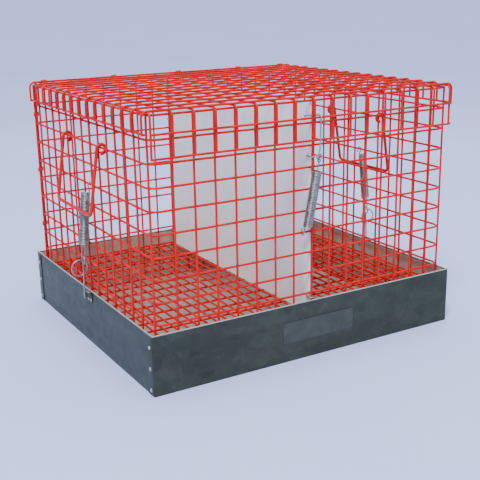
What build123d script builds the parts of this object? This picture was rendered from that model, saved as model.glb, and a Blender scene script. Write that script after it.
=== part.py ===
from build123d import *
import os
from math import cos, pi, radians, sin

# Two-compartment wire small-animal cage on a galvanised tray, with a hinged mesh lid.
# Units are millimetres, +Z is up, the cage's front faces -Y. The origin is the centre of the
# tray's underside. Each sub-part is its own solid and is written to parts/NODE.step.

os.makedirs("parts", exist_ok=True)

# ---------------------------------------------------------------- driving dimensions
CELL = 25.4  # pitch of the welded mesh
WIRE = 2.3  # side of the square bar that stands for a coated round mesh wire
WELD = 2.0  # distance between the centres of two crossing wires
FRONT_CELLS = 16  # cells across the front
SIDE_WIRES = 13  # upright wires on the flat part of each end wall
WALL_CELLS = 12  # cells from the tray floor to the top of the walls

TRAY_WIDTH = 426.0
TRAY_DEPTH = 381.0
TRAY_HEIGHT = 72.0
SHEET = 0.8  # galvanised sheet of the tray
HEM_DEPTH = 8.0
HEM_SHEET = 0.9

WALL_HALF_WIDTH = 204.0  # to the middle of the level wires of an end wall
WALL_HALF_DEPTH = 182.1  # to the middle of the level wires of the front wall
WALL_BEND = 12.0  # bend radius of the level wires at the four corners
FIRST_ROW = SHEET + 1.3  # height of the lowest level wire
FLOOR_PITCH = CELL / 2  # spacing of the floor mesh's front-to-back wires
FLOOR_WIRE_Z = 52.1  # height of the floor mesh's front-to-back wires
FLOOR_HALF_WIDTH = 200.0
FLOOR_HALF_DEPTH = 178.6

LID_INNER_Z = 309.7  # front-to-back wires of the lid
LID_BEND = 5.0  # bend radius of those wires at the front edge
LID_FIRST_DROP = 21.5  # from those wires down to the flanges' first level wire
LID_FRONT_Y = -188.5  # the same wires where they hang down in the front flange
LID_SIDE_X = 208.7  # inner wires of the two side flanges
HINGE_Y = 172.0  # the lid's last left-to-right wire, on which it turns
LID_BACK = HINGE_Y + 1.6  # cut ends of the front-to-back wires, clear of the walls as the lid turns

PANEL_SHEET = 1.2  # divider panel
CLIP_SHEET = 0.8  # strip that the hinge, seam and floor clips are bent from

HANDLE_WIRE = 4.0
HANDLE_PIVOT_ROW = 10  # the level wire that the bail handles hang on
HANDLE_LEG_Y = (-55.2, 55.2)
HANDLE_LENGTH = 79.0
HANDLE_LEAN = 9.0  # degrees from straight down, where the bail rests on the latch spring

SPRING_OD = 11.6
SPRING_WIRE = 1.6
HOOK_WIRE = 1.8
LATCH_ROW = 8  # the level wire that the tray latches hang on
LATCH_Y = -12.0
LATCH_LEAN = 5.9  # degrees that a tray latch leans outwards from straight down
FRONT_LATCH_ROW = 6
FRONT_LATCH_X = -11.5
FRONT_LATCH_TILT = 10.1  # degrees that the lid latch's spring leans towards +X
FRONT_LATCH_LEAN = 1.75  # degrees that it leans outwards

# ---------------------------------------------------------------- derived places
HALF_WIRE = WIRE / 2
ROWS = [FIRST_ROW + CELL * k for k in range(WALL_CELLS + 1)]
WALL_TOP = ROWS[-1] + 0.9
WALL_FOOT = FIRST_ROW - HALF_WIRE
FRONT_XS = [CELL * (k - FRONT_CELLS / 2) for k in range(FRONT_CELLS + 1)]
FLAT_X = WALL_HALF_WIDTH - WALL_BEND
FLAT_Y = WALL_HALF_DEPTH - WALL_BEND
PAST_FLAT = FRONT_XS[-1] - FLAT_X  # from the end of the flat front, along the bend, to the corner's upright
# the first upright of an end wall is one cell along the bend from the corner's
SIDE_START = -FLAT_Y + CELL - (WALL_BEND * pi / 2 - PAST_FLAT)
SIDE_YS = [SIDE_START + CELL * k for k in range(SIDE_WIRES)]
LID_OUTER_Z = LID_INNER_Z + WELD
LID_ARC_Z = LID_INNER_Z - LID_BEND
LID_ARC_Y = LID_FRONT_Y + LID_BEND
LID_ARC_X = LID_SIDE_X - LID_BEND
LID_TOP_YS = [HINGE_Y - CELL * k for k in range(14)]
LID_EDGE_Y = HINGE_Y - CELL * len(LID_TOP_YS)  # the left-to-right wire on the front bend
LID_ROWS = (LID_INNER_Z - LID_FIRST_DROP, LID_INNER_Z - LID_FIRST_DROP - CELL)
LID_SIDE_ROW = LID_ROWS[0]
LID_SPLIT_X = FRONT_XS[-1] - 1.7  # where the lid's flat part ends and its flanges start
LID_SPLIT_Y = LID_EDGE_Y + 1.6
TRAY_X = TRAY_WIDTH / 2
TRAY_Y = TRAY_DEPTH / 2
KEEPER_WIDTH = 12.0


def write(name, shape):
    """Write one node's solids to its STEP file."""
    export_step(shape, f"parts/{name}.step")


def fused(solids):
    """Weld a list of solids into one."""
    return solids[0].fuse(*solids[1:])


def group(solids):
    """Keep separate solids together in one node."""
    return Compound(children=list(solids))


def block(low, high):
    """A box between two corners."""
    size = [b - a for a, b in zip(low, high)]
    middle = [(a + b) / 2 for a, b in zip(low, high)]
    return (Pos(*middle) * Box(*size)).solid()


def bar(start, end, side=WIRE):
    """A square bar along X, Y or Z whose centre line runs from start to end."""
    low = [min(a, b) for a, b in zip(start, end)]
    high = [max(a, b) for a, b in zip(start, end)]
    for axis in range(3):
        if high[axis] - low[axis] < 1e-6:
            low[axis] -= side / 2
            high[axis] += side / 2
    return block(low, high)


def quarter_bend(centre, radius, axis, start_angle, side=WIRE):
    """A quarter turn of square wire about a line through centre along X, Y or Z."""
    planes = {"x": Plane.YZ, "y": Plane.XZ, "z": Plane.XY}
    ring = Circle(radius + side / 2) - Circle(radius - side / 2)
    reach = radius + side
    quadrant = Rot(0, 0, start_angle) * Pos(reach / 2, reach / 2) * Rectangle(reach, reach)
    solid = extrude(planes[axis] * (ring & quadrant), amount=side / 2, both=True)
    return (Pos(*centre) * solid).solid()


def round_wire(points, diameter, radius):
    """A round wire along straight runs with rounded corners."""
    path = FilletPolyline(*points, radius=radius)
    section = Plane(origin=path @ 0, z_dir=path % 0) * Circle(diameter / 2)
    return sweep(section, path=path).solid()


def wire_ring(centre, radius, diameter, normal):
    """A closed ring of round wire."""
    return Solid.make_torus(radius, diameter / 2, Plane(origin=centre, z_dir=normal))


def strip_loop(first, second, plane_axis, at, width, inner=2.0, sheet=CLIP_SHEET):
    """A strip bent right round two parallel wires; first and second are their centres."""
    middle = [(a + b) / 2 for a, b in zip(first, second)]
    run = Vector(second[0] - first[0], second[1] - first[1])
    turn = Vector(1, 0).get_signed_angle(run, Vector(0, 0, 1))
    face = SlotCenterToCenter(run.length, 2 * (inner + sheet)) - SlotCenterToCenter(run.length, 2 * inner)
    face = Pos(*middle) * Rot(0, 0, turn) * face
    planes = {"x": Plane.YZ, "z": Plane.XY}
    return extrude(planes[plane_axis].offset(at - width / 2) * face, amount=width).solid()


# ---------------------------------------------------------------- tray
def tray_pan():
    """Folded sheet pan: hemmed rim, and corner tabs lapped round onto the end walls."""
    outside = block((-TRAY_X, -TRAY_Y, 0), (TRAY_X, TRAY_Y, TRAY_HEIGHT))
    outside = fillet(outside.edges().group_by(Axis.Z)[0], 1.2).solid()
    inside = block(
        (SHEET - TRAY_X, SHEET - TRAY_Y, SHEET),
        (TRAY_X - SHEET, TRAY_Y - SHEET, TRAY_HEIGHT + 1),
    )
    pan = outside - inside
    fold = SHEET + HEM_SHEET
    hem = block(
        (SHEET - TRAY_X, SHEET - TRAY_Y, TRAY_HEIGHT - HEM_DEPTH),
        (TRAY_X - SHEET, TRAY_Y - SHEET, TRAY_HEIGHT),
    )
    hem = hem - block(
        (fold - TRAY_X, fold - TRAY_Y, 0),
        (TRAY_X - fold, TRAY_Y - fold, TRAY_HEIGHT + 1),
    )
    pan = pan.fuse(hem)
    for x_side in (-1, 1):
        for y_side in (-1, 1):
            x_low, x_high = sorted((x_side * TRAY_X, x_side * (TRAY_X + SHEET)))
            y_low, y_high = sorted((y_side * TRAY_Y, y_side * (TRAY_Y - 13)))
            pan = pan.fuse(block((x_low, y_low, 1.2), (x_high, y_high, TRAY_HEIGHT - 1)))
    return pan.solid()


def rivet(x_side, y, z, lap, head=5.0):
    """A domed rivet through the end wall and the sheet lapped on it, with its tail inside."""
    stand = (Align.CENTER, Align.CENTER, Align.MIN)
    shank = Pos(0, 0, -SHEET) * Cylinder(1.6, SHEET + lap, align=stand)
    dome = Pos(0, 0, lap) * Cone(head / 2, head / 4, 1.1, align=stand)
    tail = Pos(0, 0, -SHEET - 0.7) * Cylinder(2.1, 0.7, align=stand)
    place = Plane(origin=(x_side * TRAY_X, y, z), z_dir=(x_side, 0, 0))
    return (place * fused([shank, dome, tail])).solid()


# ---------------------------------------------------------------- wall mesh
def row_sections():
    """The plan outline of one level wire, cut at the ends of the corner bends."""
    outer = RectangleRounded(
        2 * WALL_HALF_WIDTH + WIRE, 2 * WALL_HALF_DEPTH + WIRE, WALL_BEND + HALF_WIRE
    )
    inner = RectangleRounded(
        2 * WALL_HALF_WIDTH - WIRE, 2 * WALL_HALF_DEPTH - WIRE, WALL_BEND - HALF_WIRE
    )
    ring = outer - inner
    depth = WALL_BEND + 5
    width = 2 * WALL_HALF_WIDTH + 20
    back = Pos(0, FLAT_Y + depth / 2) * Rectangle(width, depth)
    return {
        "front": ring & (Pos(0, -FLAT_Y - depth / 2) * Rectangle(width, depth)),
        "back": ring & (back - left_of_seam(PAST_FLAT - 0.5)),
        "left": ring & left_of_seam(PAST_FLAT + 0.5),
        "right": ring & (Pos(WALL_HALF_WIDTH, 0) * Rectangle(20, 2 * FLAT_Y)),
    }


def left_of_seam(along):
    """The plan of the left wall's panel, which runs round to a place on the back left bend."""
    angle = along / WALL_BEND
    reach = 3 * WALL_BEND
    inside = [(-FLAT_X, FLAT_Y), (-FLAT_X, -FLAT_Y)]
    outside = [(-FLAT_X - reach, -FLAT_Y), (-FLAT_X - reach, FLAT_Y)]
    seam = (-FLAT_X - reach * sin(angle), FLAT_Y + reach * cos(angle))
    return Polygon(*inside, *outside, seam, align=None)


def upright(x, y, turn=0):
    """One upright wall wire, from the tray floor to the wall's top."""
    post = Box(WIRE, WIRE, WALL_TOP - WALL_FOOT, align=(Align.CENTER, Align.CENTER, Align.MIN))
    return (Pos(x, y, WALL_FOOT) * Rot(0, 0, turn) * post).solid()


def corner_spot(x_side, y_side, along):
    """Where an upright stands on a corner bend, the given distance past the flat front or back."""
    angle = along / WALL_BEND
    reach = WALL_BEND + WELD
    return x_side * (FLAT_X + reach * sin(angle)), y_side * (FLAT_Y + reach * cos(angle))


def corner_upright(x_side, y_side, along=PAST_FLAT):
    """An upright on a corner bend, turned to face it."""
    x, y = corner_spot(x_side, y_side, along)
    return upright(x, y, turn=x_side * y_side * -along / WALL_BEND * 180 / pi)


def wall(section, uprights):
    """Weld one wall's uprights to its level wires."""
    rows = [extrude(Pos(0, 0, z - HALF_WIRE) * section, amount=WIRE).solid() for z in ROWS]
    return fused(uprights + rows)


def build_walls():
    """The bent mesh wall, as four panels that meet end to end where the bends finish."""
    sections = row_sections()
    outer_y = WALL_HALF_DEPTH + WELD
    outer_x = WALL_HALF_WIDTH + WELD
    front = [upright(x, -outer_y) for x in FRONT_XS[1:-1]]
    front += [corner_upright(-1, -1), corner_upright(1, -1)]
    write("front_wall_mesh", wall(sections["front"], front))
    back = [upright(x, outer_y) for x in FRONT_XS[1:-1]]
    back += [corner_upright(-1, 1, SEAM_ENDS[0]), corner_upright(1, 1)]
    write("back_wall_mesh", wall(sections["back"], back))
    right = [upright(outer_x, y) for y in SIDE_YS]
    write("right_wall_mesh", wall(sections["right"], right))
    left = [upright(-outer_x, y) for y in SIDE_YS] + [corner_upright(-1, 1, SEAM_ENDS[1])]
    write("left_wall_mesh", wall(sections["left"], left))


# the two end uprights of the mesh strip stand side by side on the back left bend
SEAM_ENDS = (PAST_FLAT - 2.5, PAST_FLAT + 2.5)
SEAM_Z = (115.0, 192.0, 268.0)


def seam_clips():
    """Clips that close the mesh strip where its two ends meet."""
    first, second = (corner_spot(-1, 1, along) for along in SEAM_ENDS)
    return group(strip_loop(first, second, "z", z, 5.0) for z in SEAM_Z)


# ---------------------------------------------------------------- floor, divider and their clips
def floor_mesh():
    """Half-inch by one-inch mesh floor, level with the third row of the walls."""
    across = [
        bar((-FLOOR_HALF_WIDTH, CELL * k, FLOOR_WIRE_Z - WELD),
            (FLOOR_HALF_WIDTH, CELL * k, FLOOR_WIRE_Z - WELD))
        for k in range(-7, 8)
    ]
    along = [
        bar((FLOOR_PITCH * (k + 0.5), -FLOOR_HALF_DEPTH, FLOOR_WIRE_Z),
            (FLOOR_PITCH * (k + 0.5), FLOOR_HALF_DEPTH, FLOOR_WIRE_Z))
        for k in range(-16, 16)
    ]
    return fused(across + along)


def floor_clips():
    """Clips that tie the floor mesh to the third row of the front and back walls."""
    clips = []
    wire_y = 7 * CELL
    for x in (-165.1, -63.5, 63.5, 165.1):
        for side in (-1, 1):
            first = (side * WALL_HALF_DEPTH, ROWS[2])
            second = (side * wire_y, FLOOR_WIRE_Z - WELD)
            clips.append(strip_loop(first, second, "x", x, 5.0))
    return group(clips)


DIVIDER_HALF_DEPTH = 180.6
DIVIDER_FOOT = FLOOR_WIRE_Z - WELD + HALF_WIRE + 0.3
DIVIDER_TOP = 305.5
DIVIDER_HOLE_Y = 175.0
DIVIDER_CLIP_Z = (73.0, 243.0)


def divider_panel():
    """Flat sheet between the two compartments, with a hole for each clip."""
    panel = block(
        (-PANEL_SHEET / 2, -DIVIDER_HALF_DEPTH, DIVIDER_FOOT),
        (PANEL_SHEET / 2, DIVIDER_HALF_DEPTH, DIVIDER_TOP),
    )
    for y in (-DIVIDER_HOLE_Y, DIVIDER_HOLE_Y):
        for z in DIVIDER_CLIP_Z:
            panel = panel - Pos(0, y, z) * Rot(0, 90, 0) * Cylinder(2.0, 10)
    return panel.solid()


def divider_clips():
    """Wire rings through the divider and round the middle upright of the front and back."""
    rings = []
    upright_y = WALL_HALF_DEPTH + WELD
    half = 2.6
    for side in (-1, 1):
        for z in DIVIDER_CLIP_Z:
            front, back = side * (upright_y + half), side * DIVIDER_HOLE_Y
            middle = (front + back) / 2
            path = Pos(0, middle, z) * RectangleRounded(2 * half, abs(front - back), half - 0.1)
            loop = path.wire()
            section = Plane(origin=loop @ 0, z_dir=loop % 0) * Circle(SPRING_WIRE / 2)
            rings.append(sweep(section, path=loop).solid())
    return group(rings)


# ---------------------------------------------------------------- lid
def lid_top_mesh():
    """Flat part of the lid."""
    along = [bar((x, LID_SPLIT_Y, LID_INNER_Z), (x, LID_BACK, LID_INNER_Z)) for x in FRONT_XS[1:-1]]
    across = [bar((-LID_SPLIT_X, y, LID_OUTER_Z), (LID_SPLIT_X, y, LID_OUTER_Z)) for y in LID_TOP_YS]
    return fused(along + across)


def side_drop(x_side, y):
    """One left-to-right lid wire where it bends down into a side flange."""
    start_angle = 0 if x_side > 0 else 90
    centre = (x_side * LID_ARC_X, y, LID_ARC_Z)
    foot = LID_SIDE_ROW - HALF_WIRE - 0.1
    outer = LID_BEND + WELD
    return [
        bar((x_side * LID_SPLIT_X, y, LID_OUTER_Z), (x_side * LID_ARC_X, y, LID_OUTER_Z)),
        quarter_bend(centre, outer, "y", start_angle),
        bar((x_side * (LID_ARC_X + outer), y, LID_ARC_Z), (x_side * (LID_ARC_X + outer), y, foot)),
    ]


def lid_side_flange(x_side):
    """One-cell flange at an end of the lid, with the lid's outermost front-to-back wire."""
    edge_x = x_side * FRONT_XS[-1]
    low_x = x_side * LID_SIDE_X
    pieces = [
        bar((edge_x, LID_SPLIT_Y, LID_INNER_Z), (edge_x, LID_BACK, LID_INNER_Z)),
        bar((low_x, LID_SPLIT_Y, LID_SIDE_ROW), (low_x, LID_BACK, LID_SIDE_ROW)),
    ]
    for y in LID_TOP_YS:
        pieces += side_drop(x_side, y)
    return fused(pieces)


def lid_front_flange():
    """Two-cell flange at the front, with the wire that lies on the bend."""
    pieces = []
    foot = LID_ROWS[1] - HALF_WIRE - 0.1
    for x in FRONT_XS:
        pieces.append(bar((x, LID_FRONT_Y, LID_ARC_Z), (x, LID_FRONT_Y, foot)))
        pieces.append(quarter_bend((x, LID_ARC_Y, LID_ARC_Z), LID_BEND, "x", 90))
        pieces.append(bar((x, LID_ARC_Y, LID_INNER_Z), (x, LID_SPLIT_Y, LID_INNER_Z)))
    for z in LID_ROWS:
        y = LID_FRONT_Y - WELD
        pieces.append(bar((FRONT_XS[0] - 1.3, y, z), (FRONT_XS[-1] + 1.3, y, z)))
    pieces.append(bar((-LID_SPLIT_X, LID_EDGE_Y, LID_OUTER_Z), (LID_SPLIT_X, LID_EDGE_Y, LID_OUTER_Z)))
    for x_side in (-1, 1):
        pieces += side_drop(x_side, LID_EDGE_Y)
        stub_x = x_side * LID_SIDE_X
        pieces.append(bar((stub_x, LID_EDGE_Y - 1.3, LID_SIDE_ROW), (stub_x, LID_SPLIT_Y, LID_SIDE_ROW)))
    return fused(pieces)


HINGE_CLIP_XS = (-190.5, -88.9, 12.7, 114.3, 190.5)


def lid_hinge_clips():
    """Clips round the lid's last wire and the top wire of the back wall."""
    first = (HINGE_Y, LID_OUTER_Z)
    second = (WALL_HALF_DEPTH, ROWS[-1])
    return group(strip_loop(first, second, "x", x, 7.0) for x in HINGE_CLIP_XS)


# ---------------------------------------------------------------- bail handles
def bail_handle(x_side):
    """A bent wire bail whose two curled ends hang on a level wire of the end wall."""
    lean = radians(HANDLE_LEAN)
    down = Vector(x_side * sin(lean), 0, -cos(lean))
    out = Vector(x_side * cos(lean), 0, sin(lean))
    curl = 3.4 + HANDLE_WIRE / 2
    pieces = []
    foot = {}
    for y in HANDLE_LEG_Y:
        pivot = Vector(x_side * WALL_HALF_WIDTH, y, ROWS[HANDLE_PIVOT_ROW])
        centre = pivot + down * 1.6
        side = centre + out * curl
        top = centre - down * curl
        tip = centre + down * curl
        across = (out - down) * (curl / 2**0.5)
        first = ThreePointArc(side, centre + across, top)
        inner = centre - out * curl
        second = ThreePointArc(top, inner, tip)
        for arc in (first, second):
            section = Plane(origin=arc @ 0, z_dir=arc % 0) * Circle(HANDLE_WIRE / 2)
            pieces.append(sweep(section, path=arc).solid())
        foot[y] = (side, side + down * HANDLE_LENGTH)
    (start, low), (end, far_low) = (foot[y] for y in HANDLE_LEG_Y)
    pieces.append(round_wire([start, low, far_low, end], HANDLE_WIRE, 6.0))
    return fused(pieces)


# ---------------------------------------------------------------- spring latches
COIL_RADIUS = (SPRING_OD - SPRING_WIRE) / 2
COIL_LENGTH = 68.0
COIL_TURNS = 36
END_INSET = 1.25  # how far inside the coil's end its cross wire lies
HOOK_REACH = 2.65  # centre line of a spring's end hook, from the mesh wire that it holds


def coil(centre, bottom):
    """A close-wound coil along Z over the given (x, y), drawn as a stack of round turns."""
    pitch = COIL_LENGTH / COIL_TURNS
    outer = COIL_RADIUS + SPRING_WIRE / 2 - 0.35
    inner = COIL_RADIUS - SPRING_WIRE / 2
    edges = []
    for turn in range(COIL_TURNS):
        z = bottom + pitch * turn
        edges.append(ThreePointArc((outer, 0, z), (outer + 0.35, 0, z + pitch / 2), (outer, 0, z + pitch)))
    top = bottom + COIL_LENGTH
    edges.append(Line((outer, 0, top), (inner, 0, top)))
    edges.append(Line((inner, 0, top), (inner, 0, bottom)))
    edges.append(Line((inner, 0, bottom), (outer, 0, bottom)))
    # the turn keeps the revolved faces' seam away from the cross wires
    return (Pos(*centre, 0) * Rot(0, 0, 60) * revolve(make_face(Wire(edges)), Axis.Z, 360)).solid()


def cross_wire(centre, z, direction):
    """The wire that crosses the coil's end and carries its hook or loop."""
    start = Vector(*centre, z) - Vector(*direction) * COIL_RADIUS
    return Solid.make_cylinder(SPRING_WIRE / 2, 2 * COIL_RADIUS, Plane(origin=start, z_dir=direction))


def spring_hook(coil_side, coil_end):
    """The coil's end hook, in the plane across the mesh wire; drawn as (out, along) points."""
    return [
        (coil_side, coil_end - END_INSET),
        (coil_side, coil_end + 2.2),
        (HOOK_REACH, -2.5),
        (HOOK_REACH, HOOK_REACH),
        (-HOOK_REACH, HOOK_REACH),
        (-HOOK_REACH, -4.5),
    ]


# ---- tray latches: drawn for the right end about their mesh wire, then leant outwards
SPRING_X = 5.7  # the coil's axis from the mesh wire
SPRING_TOP = -8.2
SPRING_FOOT = SPRING_TOP - COIL_LENGTH
SHANK_END = SPRING_FOOT - 15.1  # foot of the spring's long end loop
LOOP_HALF = 2.0
LATCH_PLACE = Pos(WALL_HALF_WIDTH, 0, ROWS[LATCH_ROW]) * Rot(0, -LATCH_LEAN, 0)
SHANK_FOOT = (LATCH_PLACE * Pos(SPRING_X, 0, SHANK_END)).position
EYE_RADIUS = 4.6
EYE_Z = SHANK_FOOT.Z - EYE_RADIUS + SPRING_WIRE / 2 + HOOK_WIRE / 2 + 0.35
RING_RADIUS = 10.1
RING_LEAN = 38.0  # degrees that the ring stands outwards
RING_Y = 2.1  # the ring hangs in the eye beside the rod
RING_PIVOT_Z = EYE_Z - (EYE_RADIUS**2 - RING_Y**2) ** 0.5  # the eye's wire, where the ring hangs on it
RING_HANG = RING_RADIUS - 2.5  # from that wire to the ring's centre
KEEPER_REACH = 6.1
ROD_FOOT_X = TRAY_X + KEEPER_REACH + 0.6 + HOOK_WIRE / 2
HOOK_TIP_X = ROD_FOOT_X - 3.8
HOOK_FOOT_Z = 63.9


def tray_latch_spring():
    """Tension spring of a tray latch, with a hook at its head and a long loop at its foot."""
    hook = round_wire(
        [(out, 0, up) for out, up in spring_hook(SPRING_X - COIL_RADIUS, SPRING_TOP)],
        SPRING_WIRE,
        [2.0, 2.0, 2.6, 2.6],
    )
    loop = round_wire(
        [
            (SPRING_X - LOOP_HALF, 0, SPRING_FOOT + END_INSET),
            (SPRING_X - LOOP_HALF, 0, SHANK_END),
            (SPRING_X + LOOP_HALF, 0, SHANK_END),
            (SPRING_X + LOOP_HALF, 0, SPRING_FOOT + END_INSET),
        ],
        SPRING_WIRE,
        LOOP_HALF - 0.1,
    )
    centre = (SPRING_X, 0)
    head_wire = cross_wire(centre, SPRING_TOP - END_INSET, (1, 0, 0))
    foot_wire = cross_wire(centre, SPRING_FOOT + END_INSET, (1, 0, 0))
    return LATCH_PLACE * fused([coil(centre, SPRING_FOOT), head_wire, hook, foot_wire, loop])


def tray_latch_hook():
    """Rod with an eye for the spring and the pull ring, and a hook at its foot."""
    eye = wire_ring((SHANK_FOOT.X, 0, EYE_Z), EYE_RADIUS, HOOK_WIRE, (1, 0, 0))
    rod = round_wire(
        [
            (SHANK_FOOT.X, 0, EYE_Z - EYE_RADIUS),
            (ROD_FOOT_X, 0, HOOK_FOOT_Z + 14),
            (ROD_FOOT_X, 0, HOOK_FOOT_Z),
            (HOOK_TIP_X, 0, HOOK_FOOT_Z),
            (HOOK_TIP_X, 0, HOOK_FOOT_Z + 5.7),
        ],
        HOOK_WIRE,
        [6.0, 1.85, 1.85],
    )
    return fused([eye, rod])


def pull_ring():
    """Ring that hangs in the rod's eye and stands outwards."""
    lean = radians(RING_LEAN)
    centre = (
        SHANK_FOOT.X + RING_HANG * sin(lean),
        RING_Y,
        RING_PIVOT_Z - RING_HANG * cos(lean),
    )
    return wire_ring(centre, RING_RADIUS, HOOK_WIRE, (0, 1, 0))


def tray_keeper():
    """Bent tab riveted to the tray's end wall; the hook catches behind its hanging lip."""
    half = KEEPER_WIDTH / 2
    foot = block((TRAY_X, -half, 57.5), (TRAY_X + 1.0, half, 71.0))
    shelf = block((TRAY_X, -half, 70.0), (TRAY_X + KEEPER_REACH, half, 71.0))
    lip = block((TRAY_X + KEEPER_REACH - 0.9, -half, 65.4), (TRAY_X + KEEPER_REACH, half, 70.0))
    tab = fused([foot, shelf, lip])
    for y in KEEPER_RIVET_YS:
        tab = tab - Pos(TRAY_X, y, KEEPER_RIVET_Z) * Rot(0, 90, 0) * Cylinder(1.6, 10)
    return tab.solid()


def at_end(shape, x_side):
    """Put a piece drawn for the right end at its place on one end of the cage."""
    placed = Pos(0, LATCH_Y, 0) * shape
    return placed if x_side > 0 else placed.mirror(Plane.YZ)


# ---- lid latch: its spring is drawn about the mesh wire and then tilted
LID_COIL_Y = -7.5
LID_COIL_FOOT = 7.8
LID_COIL_HEAD = LID_COIL_FOOT + COIL_LENGTH
LID_LOOP_Z = LID_COIL_HEAD + 11.5
LID_LOOP_RADIUS = 2.8
LID_EYE_RADIUS = 3.2
LID_LATCH_TRAVEL = 10.0  # how far the rod rises; it passes outside the lid's lower row all the way
LID_LATCH_PLACE = (
    Pos(FRONT_LATCH_X, -WALL_HALF_DEPTH, ROWS[FRONT_LATCH_ROW])
    * Rot(FRONT_LATCH_LEAN, 0, 0)
    * Rot(0, FRONT_LATCH_TILT, 0)
)


def lid_latch_spring():
    """Tension spring of the lid latch, with a hook at its foot and a loop at its head."""
    hook = round_wire(
        [(0, -out, -up) for out, up in spring_hook(-LID_COIL_Y - COIL_RADIUS, -LID_COIL_FOOT)],
        SPRING_WIRE,
        [2.0, 2.0, 2.6, 2.6],
    )
    centre = (0, LID_COIL_Y)
    foot_wire = cross_wire(centre, LID_COIL_FOOT + END_INSET, (0, 1, 0))
    head_wire = cross_wire(centre, LID_COIL_HEAD - END_INSET, (0, 1, 0))
    neck_start = Plane(origin=(0, LID_COIL_Y, LID_COIL_HEAD - END_INSET), z_dir=(0, 0, 1))
    neck = Solid.make_cylinder(SPRING_WIRE / 2, 11.5 + END_INSET - LID_LOOP_RADIUS, neck_start)
    loop = wire_ring((0, LID_COIL_Y, LID_LOOP_Z), LID_LOOP_RADIUS, SPRING_WIRE, (1, 0, 0))
    pieces = [coil(centre, LID_COIL_FOOT), foot_wire, hook, head_wire, neck, loop]
    return LID_LATCH_PLACE * fused(pieces)


def lid_latch_hook():
    """Rod of the lid latch: an eye in the spring's loop, and a bar tucked over the lid's row."""
    loop = (LID_LATCH_PLACE * Pos(0, LID_COIL_Y, LID_LOOP_Z)).position
    eye_z = loop.Z + 0.4 + LID_EYE_RADIUS
    eye = wire_ring((loop.X, loop.Y, eye_z), LID_EYE_RADIUS, HOOK_WIRE, (0, 1, 0))
    outside_y = LID_FRONT_Y - WELD - HALF_WIRE - HOOK_WIRE / 2 - 0.4
    pocket_y = (LID_FRONT_Y + HALF_WIRE - WALL_HALF_DEPTH - WELD - HALF_WIRE) / 2
    bar_z = LID_ROWS[0] + HALF_WIRE + HOOK_WIRE / 2 + 0.5
    top_x = loop.X + 1.8
    rod = round_wire(
        [
            (loop.X, loop.Y, eye_z + LID_EYE_RADIUS),
            (loop.X + 0.5, outside_y, LID_ROWS[1] - LID_LATCH_TRAVEL - 1.5),
            (top_x, outside_y, bar_z),
            (top_x - 1.5, pocket_y, bar_z),
            (-13.0, pocket_y, bar_z),
        ],
        HOOK_WIRE,
        [3.0, 2.2, 2.2],
    )
    return fused([eye, rod])


# ---------------------------------------------------------------- write every node
CORNER_RIVET_YS = (-TRAY_Y + 6.5, TRAY_Y - 6.5)
CORNER_RIVET_ZS = (7.0, 32.0, 57.0)
KEEPER_RIVET_YS = (-3.5, 3.5)
KEEPER_RIVET_Z = 60.5
RIVET_PLACES = {
    "tray_corner_rivets": [(y, z) for y in CORNER_RIVET_YS for z in CORNER_RIVET_ZS],
    "keeper_rivets": [(LATCH_Y + y, KEEPER_RIVET_Z) for y in KEEPER_RIVET_YS],
}


def build_tray():
    """The tray with everything fastened to it."""
    pan = tray_pan()
    for places in RIVET_PLACES.values():
        for x_side in (-1, 1):
            for y, z in places:
                pan = pan - Pos(x_side * TRAY_X, y, z) * Rot(0, 90, 0) * Cylinder(1.6, 10)
    write("tray_pan", pan.solid())
    for name, places in RIVET_PLACES.items():
        lap, head = (SHEET, 5.0) if name == "tray_corner_rivets" else (1.0, 4.4)
        write(name, group(rivet(x_side, y, z, lap, head) for x_side in (-1, 1) for y, z in places))
    write("left_tray_keeper", at_end(tray_keeper(), -1))
    write("right_tray_keeper", at_end(tray_keeper(), 1))
    plate = extrude(RectangleRounded(102, 26, 3), amount=0.6)
    face = Plane(origin=(6.3, -TRAY_Y, 37), x_dir=(1, 0, 0), z_dir=(0, -1, 0))
    write("label_plate", (face * plate).solid())


build_tray()
build_walls()
write("wall_seam_clips", seam_clips())
write("floor_mesh", floor_mesh())
write("floor_clips", floor_clips())
write("divider_panel", divider_panel())
write("divider_clips", divider_clips())
write("lid_top_mesh", lid_top_mesh())
write("lid_front_flange", lid_front_flange())
write("lid_left_flange", lid_side_flange(-1))
write("lid_right_flange", lid_side_flange(1))
write("lid_hinge_clips", lid_hinge_clips())
write("left_handle", bail_handle(-1))
write("right_handle", bail_handle(1))
write("lid_latch_spring", lid_latch_spring())
write("lid_latch_hook", lid_latch_hook())
left_spring = at_end(tray_latch_spring(), -1)
write("left_latch_spring", left_spring)
# the spring is alike front and back, so half a turn places it at the other end
write("right_latch_spring", Pos(0, 2 * LATCH_Y, 0) * Rot(0, 0, 180) * left_spring)
for side_name, x_side in (("left", -1), ("right", 1)):
    write(f"{side_name}_latch_hook", at_end(tray_latch_hook(), x_side))
    write(f"{side_name}_pull_ring", at_end(pull_ring(), x_side))
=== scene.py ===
import random
from math import atan2, cos, pi, radians, sin, tan, tau

import bmesh
import bpy
from mathutils import Matrix, Vector, noise


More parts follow.
